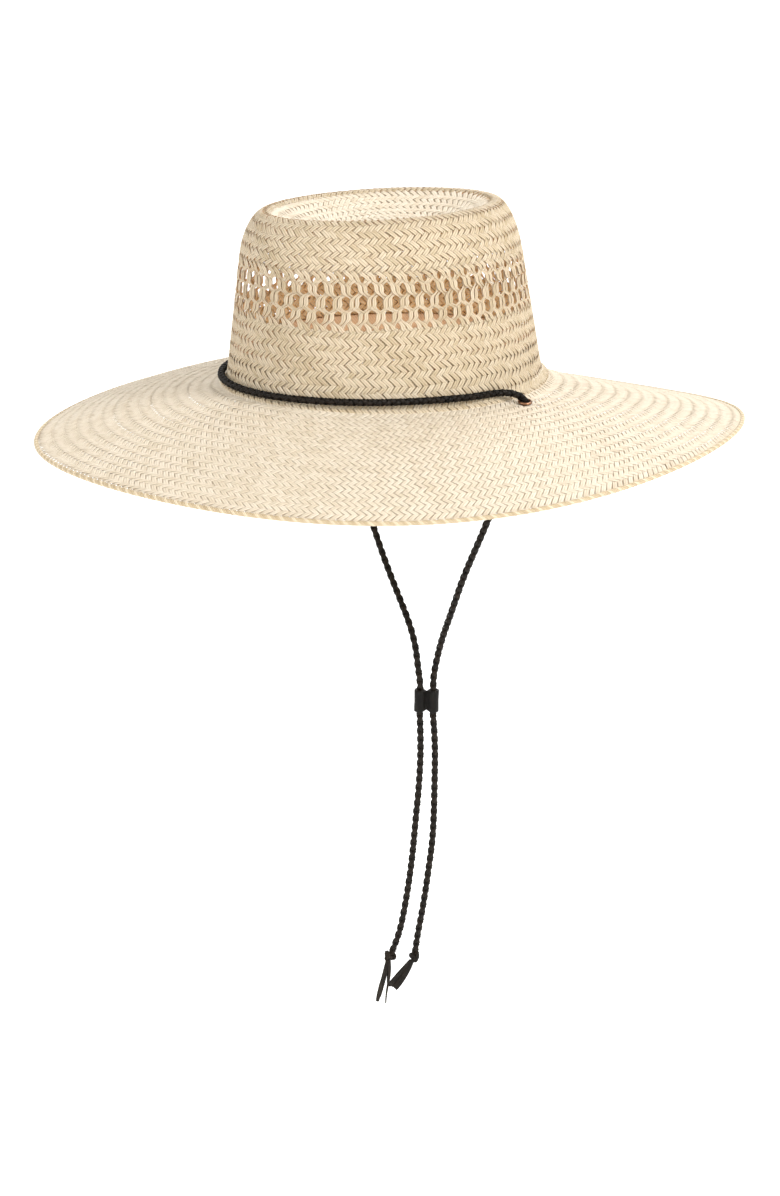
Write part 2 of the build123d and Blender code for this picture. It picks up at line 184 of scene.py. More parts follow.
def tip_mid(angle, share):
    """Middle of the dished top; share runs from 0 at its centre to 1 at its edge."""
    z = CROWN_TOP - HALF_WALL - dish((1 - share) * TIP_SPAN + 2.5)
    return np.stack([TIP_B * share * np.cos(angle), TIP_A * share * np.sin(angle) + TIP_Y,
                     z + tilt(angle, z) * share], -1)


def normal_of(surface, angle, v, step=0.05):
    round_it = surface(angle + 1e-3, v) - surface(angle - 1e-3, v)
    along_it = surface(angle, v + step) - surface(angle, v - step)
    return unit(np.cross(round_it, along_it))


GIRTH_ANGLES = np.linspace(0, TAU, 2881)
GIRTH_RUN = run_length(wall_point(GIRTH_ANGLES, 55.0, HALF_WALL))


def angle_at(share):
    """Ellipse angle at a share of the way round the crown, measured by length."""
    laps = np.floor(share)
    return np.interp((share - laps) * GIRTH_RUN[-1], GIRTH_RUN, GIRTH_ANGLES) + TAU * laps


# ---------------------------------------------------------------- meshes
# Cross sections: (across, out) in half widths and half thicknesses.
LENS = np.array([(-1, 0), (-0.55, 1), (0, 0.16), (0.55, 1),
                 (1, 0), (0.55, -1), (0, -0.16), (-0.55, -1)], float)
BAR = np.array([(-1, -0.5), (-1, 0.5), (-0.8, 1), (0.8, 1),
                (1, 0.5), (1, -0.5), (0.8, -1), (-0.8, -1)], float)
ROUND = np.array([(math.cos(a), math.sin(a)) for a in ring_angles(8)][::-1], float)
NO_CAPS = np.zeros((0, 8), int)


def link_new(name, data):
    piece = bpy.data.objects.new(name, data)
    bpy.context.scene.collection.objects.link(piece)
    return piece


def build_mesh(name, verts, quads, caps=NO_CAPS, uv=None, **attributes):
    """Smooth object from vertices in mm, four-sided faces and equal-sided end caps."""
    mesh = bpy.data.meshes.new(name)
    mesh.vertices.add(len(verts))
    mesh.vertices.foreach_set("co", (verts * MM).astype(np.float32).ravel())
    loops = np.concatenate([quads.ravel(), caps.ravel()]).astype(np.int32)
    mesh.loops.add(len(loops))
    mesh.loops.foreach_set("vertex_index", loops)
    faces = len(quads) + len(caps)
    mesh.polygons.add(faces)
    starts = np.concatenate([np.arange(len(quads)) * 4,
                             len(quads) * 4 + np.arange(len(caps)) * caps.shape[1]])
    mesh.polygons.foreach_set("loop_start", starts.astype(np.int32))
    mesh.update(calc_edges=True)
    mesh.validate()
    if uv is not None:
        layer = mesh.uv_layers.new(name="OFBake")
        layer.data.foreach_set("uv", uv.astype(np.float32).ravel())
    for key, values in attributes.items():
        attribute = mesh.attributes.new(key, "FLOAT", "POINT")
        attribute.data.foreach_set("value", np.asarray(values, np.float32))
    mesh.polygons.foreach_set("use_smooth", np.ones(faces, bool))
    return link_new(name, mesh)


def grid_quads(index, closed=True):
    """Faces of a grid of vertices (..., steps, sides) that wraps round its sides."""
    beside = np.roll(index, -1, axis=-1)
    quads = np.stack([index, beside, np.roll(beside, -1, axis=-2),
                      np.roll(index, -1, axis=-2)], -1)
    if not closed:
        quads = quads[..., :-1, :, :]
    return quads.reshape(-1, 4)


def grid_uv(place, steps, sides):
    """Map corners of such a grid's faces; place(u, v) puts shares of the grid on the map."""
    u, v = np.arange(steps)[:, None], np.arange(sides)
    u0, u1, v0, v1 = u / steps, (u + 1) / steps, v / sides, (v + 1) / sides
    corners = [place(u0, v0), place(u0, v1), place(u1, v1), place(u1, v0)]
    return np.stack(corners, -2).reshape(-1, 4, 2)


def one_ribbon(path, across, out, half_width, half_thick, tint):
    """A group of a single ribbon along one path."""
    shape = (1, len(path))
    return dict(path=path[None], across=across[None], out=out[None],
                half_width=np.broadcast_to(half_width, shape),
                half_thick=np.broadcast_to(half_thick, shape), tint=np.array([tint]))


def ribbons(name, groups, section=LENS, closed=False):
    """One mesh of many ribbons.

    A group holds path, across and out (ribbons, points, 3), half_width and half_thick
    (ribbons, points), a tint for each ribbon and, if wanted, the start of its "along" length.
    """
    sides = len(section)
    total = sum(len(g["path"]) for g in groups)
    length = np.mean([np.linalg.norm(np.diff(g["path"], axis=1), axis=-1).sum(1).mean()
                      for g in groups]) + 1e-6
    girth = float(np.mean([4.8 * g["half_width"].mean() for g in groups]))
    columns = max(1, int(round(math.sqrt(total * girth / length))))
    rows = int(math.ceil(total / columns))

    def on_map(cells, u, v, margin=0.06):
        """Each ribbon has its own cell of the map; u runs along it and v round it."""
        return np.stack(np.broadcast_arrays(
            cells % columns / columns + (margin + (1 - 2 * margin) * u) / columns,
            cells // columns / rows + (margin + (1 - 2 * margin) * v) / rows), -1)

    verts, quads, caps, side_uv, cap_uv = [], [], [], [], []
    attributes = {"tint": [], "along": [], "across": [], "side": []}
    first_vertex = first_cell = 0
    for g in groups:
        path = g["path"]
        count, points = path.shape[:2]
        wide = (g["half_width"][:, :, None] * section[:, 0])[..., None]
        thick = (g["half_thick"][:, :, None] * section[:, 1])[..., None]
        rings = path[:, :, None] + g["across"][:, :, None] * wide + g["out"][:, :, None] * thick
        verts.append(rings.reshape(-1, 3))
        index = first_vertex + np.arange(count * points * sides).reshape(count, points, sides)
        quads.append(grid_quads(index, closed))

        steps = np.linalg.norm(np.diff(path, axis=1), axis=-1)
        run = np.concatenate([np.zeros((count, 1)), np.cumsum(steps, 1)], 1)
        attributes["along"].append(np.repeat(run + g.get("start", 0.0), sides))
        attributes["across"].append(np.tile(section[:, 0], count * points))
        attributes["tint"].append(np.repeat(g["tint"], points * sides))
        attributes["side"].append(np.tile(section[:, 1] * 0.5 + 0.5, count * points))

        cells = first_cell + np.arange(count)
        side_uv.append(grid_uv(lambda u, v: on_map(cells[:, None, None], u, v),
                               points if closed else points - 1, sides).reshape(-1, 2))
        if not closed:
            caps += [index[:, 0, ::-1], index[:, -1, :]]
            turn = np.arange(sides) * TAU / sides
            for end in (0.01, 0.99):
                cap = on_map(cells[:, None], end + 0.01 * np.cos(turn), 0.5 + 0.3 * np.sin(turn))
                cap_uv.append(cap.reshape(-1, 2))
        first_vertex += count * points * sides
        first_cell += count
    return build_mesh(name, np.concatenate(verts), np.concatenate(quads),
                      np.concatenate(caps) if caps else NO_CAPS,
                      np.concatenate(side_uv + cap_uv),
                      **{key: np.concatenate(parts) for key, parts in attributes.items()})


def resample(points, step, closed=False):
    """The same line in equal steps of about step mm."""
    if closed:
        points = np.concatenate([points, points[:1]])
    run = run_length(points)
    count = max(4, int(round(run[-1] / step)))
    at = np.linspace(0, run[-1], count + 1)
    line = np.stack([np.interp(at, run, points[:, axis]) for axis in range(3)], -1)
    return line[:-1] if closed else line


def spline(points, step):
    """Natural cubic curve through points, in equal steps of about step mm."""
    points = np.array(points, float)
    run = run_length(points)
    gap = np.diff(run)
    count = len(points)
    system, bends = np.zeros((count, count)), np.zeros((count, 3))
    system[0, 0] = system[-1, -1] = 1
    for i in range(1, count - 1):
        system[i, i - 1:i + 2] = gap[i - 1], 2 * (gap[i - 1] + gap[i]), gap[i]
        bends[i] = 6 * ((points[i + 1] - points[i]) / gap[i]
                        - (points[i] - points[i - 1]) / gap[i - 1])
    second = np.linalg.solve(system, bends)
    at = np.linspace(0, run[-1], 40 * count)
    i = np.clip(np.searchsorted(run, at, side="right") - 1, 0, count - 2)
    before = ((run[i + 1] - at) / gap[i])[:, None]
    after = ((at - run[i]) / gap[i])[:, None]
    curve = before * points[i] + after * points[i + 1] + (
        (before ** 3 - before) * second[i]
        + (after ** 3 - after) * second[i + 1]) * (gap[i] ** 2)[:, None] / 6
    return resample(curve, step)


def tangents(path, closed):
    if closed:
        return unit(np.roll(path, -1, 0) - np.roll(path, 1, 0))
    return unit(np.gradient(path, axis=0))


def carried_normals(path, closed=False):
    """Two normals at right angles, carried along a path without twist."""
    tangent = tangents(path, closed)
    reference = UP if abs(tangent[0, 2]) < 0.9 else np.array([1.0, 0, 0])
    first = [unit(reference - tangent[0] * (reference @ tangent[0]))]
    for i in range(1, len(path)):
        normal = first[-1] - tangent[i] * (first[-1] @ tangent[i])
        first.append(normal / np.linalg.norm(normal))
    first = np.array(first)
    if closed:      # share out the twist left over at the seam
        last = first[-1] - tangent[0] * (first[-1] @ tangent[0])
        last /= np.linalg.norm(last)
        gap = math.atan2(np.cross(last, first[0]) @ tangent[0], last @ first[0])
        turn = np.linspace(0, gap, len(path))[:, None]
        first = first * np.cos(turn) + np.cross(tangent, first) * np.sin(turn)
    return first, np.cross(tangent, first)


def twisted(path, radius, turn, strands, closed=False, plait=True, taper=0):
    """Strands of a round plait, or of a laid rope, with one turn in about turn mm.

    A taper above 0 thins both ends over that many mm.
    """
    first, second = carried_normals(path, closed)
    run = run_length(path)
    if closed:
        whole = run[-1] + np.linalg.norm(path[0] - path[-1])
        turn = whole / round(whole / turn)
    winding = TAU * run / turn
    scale = np.ones(len(path))
    if taper:
        to_end = np.minimum(run, run[-1] - run)
        scale = 1 - 0.75 * np.clip(1 - to_end / taper, 0, 1) ** 2
    groups = []
    for k in range(strands):
        if plait:       # half the strands wind each way, passing over and under the others
            hand = 1 if k % 2 == 0 else -1
            angle = hand * winding + (k // 2) * math.pi + (math.pi / 2 if hand < 0 else 0)
            off_axis = (0.74 * radius + hand * 0.17 * radius * np.sin(2 * winding)) * scale
            half_width, half_thick = 0.60 * radius, 0.20 * radius
        else:
            angle = winding + TAU * k / strands
            off_axis = 0.50 * radius * scale
            half_width, half_thick = 0.56 * radius, 0.50 * radius
        outward = np.cos(angle)[:, None] * first + np.sin(angle)[:, None] * second
        strand = path + outward * off_axis[:, None]
        tangent = tangents(strand, closed)
        across = unit(np.cross(outward, tangent))
        groups.append(one_ribbon(strand, across, np.cross(tangent, across), half_width * scale,
                                 half_thick * (0.4 + 0.6 * scale), rng.uniform()))
    return groups


# ---------------------------------------------------------------- materials
class Shader:
    """A new material. Each method adds a node and returns one of its outputs."""

    def __init__(self, name):
        self.material = bpy.data.materials.new(name)
        self.material.use_nodes = True
        self.tree = self.material.node_tree
        self.tree.nodes.clear()

    def node(self, kind, inputs=None, **settings):
        """Node with its settings; an input is given a value or another node's output."""
        node = self.tree.nodes.new("ShaderNode" + kind)
        for key, value in settings.items():
            setattr(node, key, value)
        for key, value in (inputs or {}).items():
            if isinstance(value, bpy.types.NodeSocket):
                self.tree.links.new(value, node.inputs[key])
            else:
                node.inputs[key].default_value = value
        return node

    def add(self, kind, inputs=None, out=0, **settings):
        return self.node(kind, inputs, **settings).outputs[out]

    def attribute(self, name):
        return self.add("Attribute", attribute_name=name, out="Fac")

    def math(self, operation, *inputs):
        return self.add("Math", dict(enumerate(inputs)), operation=operation)

    def noise(self, vector, scale, **inputs):
        return self.add("TexNoise", {"Vector": vector, "Scale": scale, **inputs})

    def remap(self, value, source=(0.0, 1.0), target=(0.0, 1.0)):
        return self.add("MapRange", {"Value": value,
                                     "From Min": source[0], "From Max": source[1],
                                     "To Min": target[0], "To Max": target[1]})

    def multiply_colour(self, factor, colour, other):
        return self.add("Mix", {"Factor": factor, "A": colour, "B": (*other, 1)}, out="Result",
                        data_type="RGBA", blend_type="MULTIPLY")

    def ramp(self, value, stops):
        node = self.node("ValToRGB", {0: value})
        elements = node.color_ramp.elements
        while len(elements) < len(stops):
            elements.new(0.5)
        for element, (position, colour) in zip(elements, stops):
            element.position = position
            element.color = (*colour, 1)
        return node.outputs[0]

    def bump(self, height, strength, distance):
        return self.add("Bump", {"Height": height, "Strength": strength, "Distance": distance})

    def finish(self, surface):
        self.node("OutputMaterial", {0: surface})
        return self.material


def srgb(*channels):
    """Linear colour of an sRGB one given in 0 to 255."""
    return tuple(c / 255 / 12.92 if c <= 10 else ((c / 255 + 0.055) / 1.055) ** 2.4
                 for c in channels)


def straw_material(name, tones, tint_weight, translucency, edge_shade_strength, inner_shade=(1, 1, 1)):
    """Streaked straw, with painted shade along the strands' rims and middle grooves and, in a
    warm tint, on their backs.
    """
    shader = Shader(name)
    tint, along, across = (shader.attribute(key) for key in ("tint", "along", "across"))
    grain_at = shader.add("CombineXYZ", {0: shader.math("MULTIPLY", along, 0.10),
                                         1: shader.math("MULTIPLY", across, 1.7),
                                         2: shader.math("MULTIPLY", tint, 60.0)})
    streak = shader.noise(grain_at, scale=2.2, Detail=4.0, Roughness=0.6)
    patch = shader.noise(shader.add("TexCoord", out="Object"), scale=28.0, Detail=3.0)
    # the strand's tint, streaks along it and broad patches make one shade
    shade = shader.math("MULTIPLY_ADD", tint, tint_weight, 0.30 - 0.57 * tint_weight)
    shade = shader.math("MULTIPLY_ADD", streak, 0.52, shade)
    shade = shader.math("MULTIPLY_ADD", patch, 0.10, shade)
    stops = zip((0.20, 0.40, 0.62, 0.90), (srgb(*tone) for tone in tones))
    colour = shader.ramp(shade, list(stops))
    # painted shade: a warm, darker tint on the strands' backs, the faces that look into the
    # crown, stands in for the shaded, light-filtered inside of the hat
    inner_shade_mask = shader.remap(shader.attribute("side"), source=(0.45, 0.05))
    colour = shader.multiply_colour(inner_shade_mask, colour, inner_shade)
    # painted shade: brown darkening along each strand's rims and down its middle stands in for
    # the shadow in the gaps and crease between strands
    off_middle = shader.math("ABSOLUTE", across)
    rim = shader.remap(off_middle, source=(0.74, 0.98), target=(0.0, edge_shade_strength))
    groove_shade = shader.remap(off_middle, source=(0.26, 0.04), target=(0.0, edge_shade_strength * 0.8))
    edge_groove_shade = shader.math("MAXIMUM", rim, groove_shade)
    colour = shader.multiply_colour(edge_groove_shade, colour, (0.42, 0.30, 0.17))
    colour = shader.add("HueSaturation", {"Saturation": 1.0, "Color": colour})
    roughness = shader.remap(streak, target=(0.42, 0.68))
    fibre = shader.noise(grain_at, scale=9.0, Detail=2.0)
    surface = shader.add("BsdfPrincipled", {
        "Base Color": colour, "Roughness": roughness,
        "Normal": shader.bump(fibre, strength=0.35, distance=0.0002)})
    warm = shader.multiply_colour(1.0, colour, (1.0, 0.72, 0.40))
    through = shader.add("BsdfTranslucent", {"Color": warm})
    return shader.finish(shader.add("MixShader", {0: translucency, 1: surface, 2: through}))


def leather_material(name, dark, light, roughness, specular=0.16, grain_scale=900.0):
    """Grained leather, lighter where its edges are worn."""
    shader = Shader(name)
    coords = shader.add("TexCoord", out="Object")
    mottle = shader.noise(coords, scale=140.0, Detail=4.0)
    grain = shader.add("TexVoronoi", {"Vector": coords, "Scale": grain_scale})
    shade = shader.math("MULTIPLY_ADD", shader.attribute("tint"), 0.35, mottle)
    wear = shader.remap(shader.add("NewGeometry", out="Pointiness"),
                        source=(0.50, 0.62), target=(0.0, 0.35))
    shade = shader.math("ADD", shade, wear)
    return shader.finish(shader.add("BsdfPrincipled", {
        "Specular IOR Level": specular,
        "Base Color": shader.ramp(shade, [(0.3, srgb(*dark)), (1.0, srgb(*light))]),
        "Roughness": shader.remap(mottle, target=(roughness - 0.08, roughness + 0.16)),
        "Normal": shader.bump(grain, strength=0.5, distance=0.00012)}))


def metal_material(name):
    """Copper, dull and brown in patches."""
    shader = Shader(name)
    patina = shader.noise(shader.add("TexCoord", out="Object"), scale=420.0, Detail=5.0)
    stops = [(0.32, srgb(58, 38, 26)), (0.5, srgb(126, 88, 62)), (0.72, srgb(196, 156, 128))]
    return shader.finish(shader.add("BsdfPrincipled", {
        "Metallic": 1.0,
        "Base Color": shader.ramp(patina, stops),
        "Roughness": shader.remap(patina, target=(0.52, 0.24)),
        "Normal": shader.bump(patina, strength=0.2, distance=0.0001)}))


def cloth_material(name, dark, light, thread_scale):
    """Fine woven tape: two crossed sets of threads."""
    shader = Shader(name)
    coords = shader.add("TexCoord", out="Object")
    level, slanted = (
        shader.add("TexWave", {"Vector": coords, "Scale": scale}, out="Fac",
                   bands_direction=direction)
        for direction, scale in (("Z", thread_scale / 4), ("DIAGONAL", thread_scale / 5)))
    mottle = shader.noise(coords, scale=90.0, Detail=4.0)
    weave = shader.math("MULTIPLY", level, slanted)
    shade = shader.math("MULTIPLY_ADD", weave, 0.5, mottle)
    return shader.finish(shader.add("BsdfPrincipled", {
        "Roughness": 0.85,
        "Sheen Weight": 0.25,
        "Base Color": shader.ramp(shade, [(0.3, srgb(*dark)), (0.95, srgb(*light))]),
        "Normal": shader.bump(weave, strength=0.6, distance=0.00025)}))


# Four sRGB tones from dark to light.
CROWN_TONES = [(158, 132, 93), (199, 180, 144), (221, 206, 176), (231, 221, 199)]
# painted light: paler, less saturated tones for the brim and the dished top, standing in for the
# strong light on those upward faces
BRIM_LIT_TONES = [(170, 147, 112), (211, 194, 166), (232, 219, 196), (241, 232, 215)]
EDGE_TONES = [(126, 98, 64), (192, 172, 138), (220, 204, 174), (234, 222, 198)]
# painted shade: the crown straw's strands are tinted warm orange-brown on their backs, for the
# shade inside the crown
CROWN_STRAW = straw_material("woven_straw", CROWN_TONES, tint_weight=0.26, translucency=0.28,
                             edge_shade_strength=0.62, inner_shade=(1.0, 0.64, 0.28))
# painted light: a lit, paler copy of the crown straw, used on the brim and the dished top
LIT_PALE_STRAW = straw_material("woven_straw_brim_lit", BRIM_LIT_TONES, tint_weight=0.22,
                            translucency=0.16, edge_shade_strength=0.34)
EDGE_STRAW = straw_material("straw_edge", EDGE_TONES, tint_weight=0.34,
                            translucency=0.05, edge_shade_strength=0.9)
CORD_LEATHER = leather_material("braided_leather", (4, 3, 2), (36, 28, 20), roughness=0.50)
THONG_LEATHER = leather_material("leather_thong", (8, 7, 6), (42, 36, 30), roughness=0.58)
SLIDER_LEATHER = leather_material("slider_leather", (4, 3, 2), (24, 20, 15), roughness=0.42,
                                  specular=0.14, grain_scale=700.0)
METAL = metal_material("antique_copper")
BAND = cloth_material("sweatband_cloth", (170, 128, 92), (214, 176, 136), thread_scale=1400.0)
THREAD = cloth_material("sewing_thread", (176, 146, 104), (222, 196, 152), thread_scale=3000.0)


def finish_piece(piece, material, slot, *nodes, body="hat"):
    """Give a piece its material, the body it moves with and the CAD nodes it replaces; slot is
    not used.
    """
    piece.data.materials.clear()
    piece.data.materials.append(material)
    if body:
        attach(piece, body)
    if nodes:
        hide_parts(*nodes)


# ---------------------------------------------------------------- crown: crossed strands
STRANDS_UPPER = 2 * 54      # of each hand; two for each of the 54 openings in a row
STRANDS_LOWER = 135         # of each hand, below CUT_Z
ROW_HEIGHT = 3.88           # height of one visible row of the weave
HOLE_HEIGHTS = np.array([45.1, 52.0, 60.2, 68.8, 75.3])     # rows of openings
DRIFT_POWERS = (1.7, 3.4, 3.4, 1.7)                         # between each two of those rows
CUT_Z = 44.0                # where the number of strands changes
OVERLAP = 0.7               # how far the weaves run past that height


def vent_tables():
    """Against height: strands' sideways drift in pitches, weave phase, spacing within pairs."""
    heights = np.linspace(-8, 160, 3361)
    drift, between = np.zeros_like(heights), np.zeros_like(heights)
    # one pitch sideways from each row of openings to the next, slowest beside an opening
    for row, power in enumerate(DRIFT_POWERS):
        low, high = HOLE_HEIGHTS[row:row + 2]
        share = (heights - low) / (high - low)
        inside = (share >= 0) & (share <= 1)
        half = 0.5 * np.clip(np.minimum(share, 1 - share) * 2, 0, 1) ** power
        step = (row - 2) + np.where(share < 0.5, half, 1 - half)
        drift = np.where(inside, step, drift)
        between = np.where(inside, share, between)
    first, last = HOLE_HEIGHTS[0], HOLE_HEIGHTS[-1]
    drift = np.where(heights < first, -2 + (heights - first) / ROW_HEIGHT, drift)
    drift = np.where(heights > last, 2 + (heights - last) / ROW_HEIGHT, drift)

    rate = np.interp(heights, [44, 47, 73.5, 77], [1.0, 1.5, 1.5, 1.0])
    growth = (2 * np.gradient(drift, heights) * rate)[:-1] * np.diff(heights)
    phase = np.concatenate([[0], np.cumsum(growth)])
    phase -= np.interp(HOLE_HEIGHTS[2], heights, phase)

    spacing = np.interp(heights, [40, 43.5, 45.5, 48.5, 72.3, 75.0, 77.5, 81.0],
                        [1.0, 0.88, 0.78, 0.54, 0.54, 0.78, 0.90, 1.0])
    spacing = np.where((heights > 48.5) & (heights < 72.3),
                       0.47 + 0.17 * np.cos(np.pi * between) ** 2, spacing)
    spacing = np.convolve(np.pad(spacing, 10, mode="edge"), np.ones(21) / 21, mode="valid")
    return heights, drift, phase, spacing


VENT_HEIGHTS, VENT_DRIFT, VENT_PHASE, VENT_SPACING = vent_tables()
# the lower weave's phase at the cut is the nearest that meets the weave above in step
CUT_PHASE = 2 * round((float(np.interp(CUT_Z, VENT_HEIGHTS, VENT_PHASE)) + 0.5) / 2) - 0.5


def by_hand(draw):
    """One random value for each strand, for the strands of either hand."""
    return {hand: draw() for hand in (1, -1)}


strand_phase = by_hand(lambda: rng.uniform(0, 6.28, STRANDS_LOWER))
strand_width = by_hand(lambda: rng.uniform(0.92, 1.06, STRANDS_LOWER))
strand_lift = by_hand(lambda: rng.normal(0, 0.03, STRANDS_LOWER))
strand_tint = by_hand(lambda: rng.beta(2.4, 1.8, STRANDS_LOWER))


def crown_strands(hand, start, end, step, lower):
    """Strands of one hand between two lengths up the crown; lower picks the finer set.

    The wall is straight up to its shoulder, so the length also serves as the height.
    """
    length = np.linspace(start, end, int(round((end - start) / step)) + 1)
    count = STRANDS_LOWER if lower else STRANDS_UPPER
    k = np.arange(count)
    if lower:
        drift = (length - CUT_Z) / ROW_HEIGHT
        phase = CUT_PHASE + 2 * (length - CUT_Z) / ROW_HEIGHT
        spacing = np.ones_like(length)
        in_pair = 0 * k
    else:
        drift, phase, spacing = (np.interp(length, VENT_HEIGHTS, table)
                                 for table in (VENT_DRIFT, VENT_PHASE, VENT_SPACING))
        in_pair = k % 2 - 0.5
    wobble = (0.075 * np.sin(length * 0.21 + strand_phase[hand][:count, None])
              * (0.3 + 0.7 * (spacing > 0.9)))
    place = (k - in_pair)[:, None] + spacing * in_pair[:, None] + hand * drift + wobble
    angle = angle_at(place / count)
    lengths = np.broadcast_to(length, angle.shape)
    path = crown_by_hand(angle, lengths)
    normal = normal_of(crown_mid, angle, lengths)
    outwards = np.stack([np.cos(angle), np.sin(angle), np.full_like(angle, 1.2)], -1)
    normal = normal * np.sign((normal * outwards).sum(-1, keepdims=True))
    tangent = unit(np.gradient(path, axis=1))

    per_radian = np.linalg.norm(crown_mid(angle + 1e-3, lengths)
                                - crown_mid(angle - 1e-3, lengths), axis=-1) / 2e-3
    radians = angle_at((place + 0.5) / count) - angle_at((place - 0.5) / count)
    steepness = np.linalg.norm(np.cross(tangent, unit(np.cross(normal, UP))), axis=-1)
    half_width = (per_radian * radians * spacing * np.clip(steepness, 0.5, 1) * 0.5
                  * (1.01 - 0.06 * (spacing < 0.8)) * strand_width[hand][:count, None])

    over_under = np.clip(np.sin(math.pi * (phase + 0.5) / 2) * 1.3 - 0.22, -1, 1)
    offset = (hand * STRAND_BOW * over_under * np.interp(length, [-6, -1], [0.6, 1.0])
              + strand_lift[hand][:count, None])
    return dict(path=path + normal * offset[..., None], across=unit(np.cross(normal, tangent)),
                out=normal, half_width=half_width,
                half_thick=np.full_like(half_width, HALF_STRAND),
                tint=strand_tint[hand][:count], start=start * 1.4)


VENT_TOP = float(np.interp(78.0, WALL_HEIGHTS[:12], WALL_LENGTHS[:12]))
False      # a quick build and a full one are the same here
# name, start and end lengths, step, whether the lower set, CAD node
CROWN_ZONES = (
    ("crown_lower_weave", -3.2, CUT_Z + OVERLAP, 1.05, True, "crown_lower_wall"),
    ("vent_band_weave", CUT_Z - OVERLAP, VENT_TOP, 0.65, False, "vent_band"),
    ("crown_upper_weave", VENT_TOP, RIM_LENGTH, 0.9, False, "crown_upper_wall"))
for name, start, end, step, lower, cad_node in CROWN_ZONES:
    weave = ribbons(name, [crown_strands(hand, start, end, step, lower) for hand in (1, -1)])
    finish_piece(weave, CROWN_STRAW, "straw", cad_node)


# ---------------------------------------------------------------- brim and tip: rows of floats
def float_rows(surface, centres, row_step, pitch, half_span, bow, holes=()):
    """Short crossed strands in rows round a surface(angle, share), two groups to a row.

    centres and row_step are shares, half_span is in rows, holes are (x, y, radius) left clear.
    """
    groups = []
    along = np.linspace(-1, 1, 5)
    lap = np.linspace(0, TAU, 721)
    for row, centre in enumerate(centres):
        run = run_length(surface(lap, np.full(721, centre)))
        count = max(5, int(round(run[-1] / pitch)))
        height = np.linalg.norm(surface(lap, np.full(721, centre + row_step / 2))
                                - surface(lap, np.full(721, centre - row_step / 2)),
                                axis=-1).mean()
        middles = (np.arange(count) + 0.5 * (row % 2)) / count * run[-1]
        for layer in (1, -1):
            hand = 1 if (row % 2 == 0) == (layer > 0) else -1
            at = (middles[:, None] + hand * height * half_span * along * 0.95
                  + rng.normal(0, 0.06, count)[:, None])
            laps = np.floor(at / run[-1])
            angle = np.interp(at - laps * run[-1], run, lap) + TAU * laps
            share = np.broadcast_to(centre + row_step * half_span * along, angle.shape)
            path = surface(angle, share)
            normal = normal_of(surface, angle, share, 0.002)
            normal = normal * np.where(normal[..., 2:3] < 0, -1, 1)
            tangent = unit(np.gradient(path, axis=1))
            half_width = (run[-1] / count * 0.72 * 0.5
                          * rng.uniform(0.94, 1.06, count)[:, None]
                          * np.array([0.86, 1, 1.02, 1, 0.86]))
            half_thick = np.full(angle.shape, HALF_STRAND) * np.array([0.8, 1, 1, 1, 0.8])
            lift = bow * (1 - 1.35 * along ** 2)
            offset = layer * (lift + rng.normal(0, 0.035, count)[:, None])
            tint = rng.beta(2.4, 1.8, count)
            keep = np.ones(count, bool)
            for x, y, radius in holes:
                keep &= np.hypot(path[..., 0] - x, path[..., 1] - y).min(1) > radius
            groups.append(dict(path=(path + normal * offset[..., None])[keep],
                               across=unit(np.cross(normal, tangent))[keep],
                               out=normal[keep], half_width=half_width[keep],
                               half_thick=half_thick[keep], tint=tint[keep],
                               start=float(row * 7)))
    return groups


BRIM_ROWS = 30
BRIM_INNER, BRIM_OUTER = 0.3 / 120, 1 - 3.6 / 120       # shares of the brim's width
brim_step = (BRIM_OUTER - BRIM_INNER) / BRIM_ROWS
groups = float_rows(brim_mid, [BRIM_INNER + brim_step * (i + 0.5) for i in range(BRIM_ROWS)],
                    brim_step, pitch=4.2, half_span=0.80, bow=0.37,
                    holes=[(sign * EYE_X, EYE_Y, 2.9) for _, sign in SIDES])
BRIM_CUTS = [0, 7, 12, 17, 21, 24, 27, BRIM_ROWS]       # rows at which the mesh is divided
for part, (first, last) in enumerate(zip(BRIM_CUTS, BRIM_CUTS[1:])):
    weave = ribbons(f"brim_weave_{part + 1}", groups[2 * first:2 * last])
    finish_piece(weave, LIT_PALE_STRAW, "straw", *(["brim"] if part == 0 else []))

TIP_ROWS = 16
TIP_OUTER, TIP_INNER = 0.985, 0.03                      # shares of the tip's radius
tip_step = (TIP_OUTER - TIP_INNER) / TIP_ROWS
groups = float_rows(tip_mid, [TIP_OUTER - tip_step * (i + 0.5) for i in range(TIP_ROWS)],
                    tip_step, pitch=4.3, half_span=0.78, bow=STRAND_BOW)
finish_piece(ribbons("crown_tip_weave", groups), LIT_PALE_STRAW, "straw", "crown_tip")

# ---------------------------------------------------------------- twisted brim edge
EDGE_RADIUS = 1.5


def brim_edge_path():
    """Closed line one rope radius inside the brim's outline."""
    angle = ring_angles(2000)
    x, y, z = edge_point(angle)
    out_x, out_y = np.cos(angle) / BRIM_B, np.sin(angle) / BRIM_A
    size = np.hypot(out_x, out_y)
    line = np.stack([x - out_x / size * EDGE_RADIUS, y - out_y / size * EDGE_RADIUS,
                     z - HALF_WALL], -1)
    return resample(line, 0.62, closed=True)


rope = twisted(brim_edge_path(), EDGE_RADIUS, turn=6.9, strands=3, closed=True, plait=False)
finish_piece(ribbons("brim_edge_twist", rope, section=ROUND, closed=True),
             EDGE_STRAW, "straw", "brim_edge_roll")

